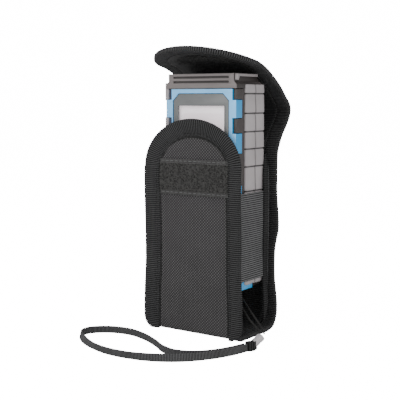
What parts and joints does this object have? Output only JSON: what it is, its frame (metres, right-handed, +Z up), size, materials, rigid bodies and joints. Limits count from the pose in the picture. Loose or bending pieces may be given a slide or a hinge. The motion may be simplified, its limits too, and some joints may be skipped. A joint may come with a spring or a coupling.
{
  "type": "laser distance meter in belt pouch",
  "caption": "Pocket laser distance meter standing partly drawn out of a black fabric belt pouch with an arched flap, elastic sides and a wrist strap.",
  "frame": {"origin": "centre of the pouch base, on the surface it stands on", "axes": "+Z up along the instrument, -Y out of the front panel and the display, +X to the right as seen from the front"},
  "size_m": [0.1011, 0.1154, 0.1662],
  "materials": {
    "pouch_cloth": "matt coated ballistic weave",
    "binding_tape": "matt ribbed binding tape",
    "loop_pile": "fuzzy loop pile",
    "hook_pile": "stiff hook tape",
    "elastic_web": "ribbed elastic webbing",
    "belt_web": "matt woven webbing",
    "strap_web": "woven flat strap",
    "string_cord": "thin braided string",
    "crimp_plastic": "satin moulded plastic",
    "dark_plastic": "fine spark-eroded plastic",
    "blue_plastic": "satin moulded plastic",
    "cap_plastic": "satin moulded plastic",
    "armour_rubber": "matt overmoulded soft rubber",
    "trim_plastic": "satin moulded plastic",
    "face_plastic": "printed satin face",
    "clear_window": "clear window",
    "lcd": "unlit display",
    "key_rubber": "matt silicone rubber",
    "accent_rubber": "matt silicone rubber",
    "circuit_board": "solder-masked board",
    "brass": "turned brass",
    "steel": "plated steel",
    "cell_wrap": "printed sleeve"
  },
  "bodies": {
    "pouch": {"front_panel": "pouch_cloth", "front_binding": "binding_tape", "loop_strip": "loop_pile", "spine_panel": "pouch_cloth", "spine_binding_left": "binding_tape", "spine_binding_right": "binding_tape", "elastic_left": "elastic_web", "elastic_right": "elastic_web", "belt_loop": "belt_web", "strap_webbing": "strap_web", "strap_fold": "strap_web", "strap_crimp": "crimp_plastic", "strap_string": "string_cord"},
    "neck": {"spine_neck": "pouch_cloth"},
    "flap": {"flap_panel": "pouch_cloth", "flap_binding_left": "binding_tape", "flap_binding_right": "binding_tape"},
    "flap_tip": {"flap_tip_panel": "pouch_cloth", "flap_tip_binding": "binding_tape", "hook_patch": "hook_pile"},
    "instrument": {"rear_shell": "dark_plastic", "front_frame": "blue_plastic", "side_rail_left": "dark_plastic", "side_rail_right": "dark_plastic", "armour_left": "armour_rubber", "armour_right": "armour_rubber", "top_cap": "cap_plastic", "cap_trim_left": "trim_plastic", "cap_trim_right": "trim_plastic", "laser_window": "clear_window", "receiver_lens": "clear_window", "face_plate": "face_plastic", "display_window": "clear_window", "lcd_panel": "lcd", "keypad_mat": "key_rubber", "main_board": "circuit_board", "laser_module": "brass", "receiver_tube": "key_rubber", "buzzer": "key_rubber", "battery_cell_left": "cell_wrap", "battery_cell_right": "cell_wrap", "battery_contact_top": "steel", "battery_contact_bottom": "steel", "case_screw_1": "steel", "case_screw_2": "steel", "case_screw_3": "steel", "case_screw_4": "steel", "lanyard_lug": "steel"},
    "battery_door": {"battery_cover": "dark_plastic"},
    "button_measure_key": {"button_measure": "accent_rubber"},
    "button_plus_key": {"button_plus": "key_rubber"},
    "button_minus_key": {"button_minus": "key_rubber"},
    "button_area_key": {"button_area": "key_rubber"},
    "button_reference_key": {"button_reference": "key_rubber"},
    "button_timer_key": {"button_timer": "key_rubber"},
    "button_units_key": {"button_units": "key_rubber"},
    "button_memory_key": {"button_memory": "key_rubber"},
    "button_power_key": {"button_power": "key_rubber"}
  },
  "joints": [
    {"name": "instrument_draw", "type": "slide", "parent": "pouch", "child": "instrument", "axis": [0, 0, 1], "range_m": [-0.016, 0.055], "deforming": ["strap_string"]},
    {"name": "lower_crease", "type": "hinge", "parent": "pouch", "child": "neck", "pos_m": [0, 0.0206, 0.1065], "axis": [-1, 0, 0], "range_deg": [-21.2, 72.5]},
    {"name": "upper_crease", "type": "hinge", "parent": "neck", "child": "flap", "pos_m": [0, 0.0354, 0.1286], "axis": [-1, 0, 0], "range_deg": [-10, 34]},
    {"name": "tip_fold", "type": "hinge", "parent": "flap", "child": "flap_tip", "pos_m": [0, -0.001, 0.1569], "axis": [-1, 0, 0], "range_deg": [-30, 0]},
    {"name": "battery_cover_slide", "type": "slide", "parent": "instrument", "child": "battery_door", "axis": [0, 0, -1], "range_m": [0, 0.018]},
    {"name": "measure_key_press", "type": "slide", "parent": "instrument", "child": "button_measure_key", "axis": [0, 1, 0], "range_m": [0, 0.0008], "stiffness_N_per_m": 900, "springref_m": -0.0002},
    {"name": "plus_key_press", "type": "slide", "parent": "instrument", "child": "button_plus_key", "axis": [0, 1, 0], "range_m": [0, 0.0008], "stiffness_N_per_m": 900, "springref_m": -0.0002},
    {"name": "minus_key_press", "type": "slide", "parent": "instrument", "child": "button_minus_key", "axis": [0, 1, 0], "range_m": [0, 0.0008], "stiffness_N_per_m": 900, "springref_m": -0.0002},
    {"name": "area_key_press", "type": "slide", "parent": "instrument", "child": "button_area_key", "axis": [0, 1, 0], "range_m": [0, 0.0008], "stiffness_N_per_m": 900, "springref_m": -0.0002},
    {"name": "reference_key_press", "type": "slide", "parent": "instrument", "child": "button_reference_key", "axis": [0, 1, 0], "range_m": [0, 0.0008], "stiffness_N_per_m": 900, "springref_m": -0.0002},
    {"name": "timer_key_press", "type": "slide", "parent": "instrument", "child": "button_timer_key", "axis": [0, 1, 0], "range_m": [0, 0.0008], "stiffness_N_per_m": 900, "springref_m": -0.0002},
    {"name": "units_key_press", "type": "slide", "parent": "instrument", "child": "button_units_key", "axis": [0, 1, 0], "range_m": [0, 0.0008], "stiffness_N_per_m": 900, "springref_m": -0.0002},
    {"name": "memory_key_press", "type": "slide", "parent": "instrument", "child": "button_memory_key", "axis": [0, 1, 0], "range_m": [0, 0.0008], "stiffness_N_per_m": 900, "springref_m": -0.0002},
    {"name": "power_key_press", "type": "slide", "parent": "instrument", "child": "button_power_key", "axis": [0, 1, 0], "range_m": [0, 0.0008], "stiffness_N_per_m": 900, "springref_m": -0.0002}
  ],
  "couplings": [
    {"joint": "lower_crease", "follows": "instrument_draw", "rad_per_m": 22.689},
    {"joint": "upper_crease", "follows": "instrument_draw", "rad_per_m": 10.472}
  ]
}
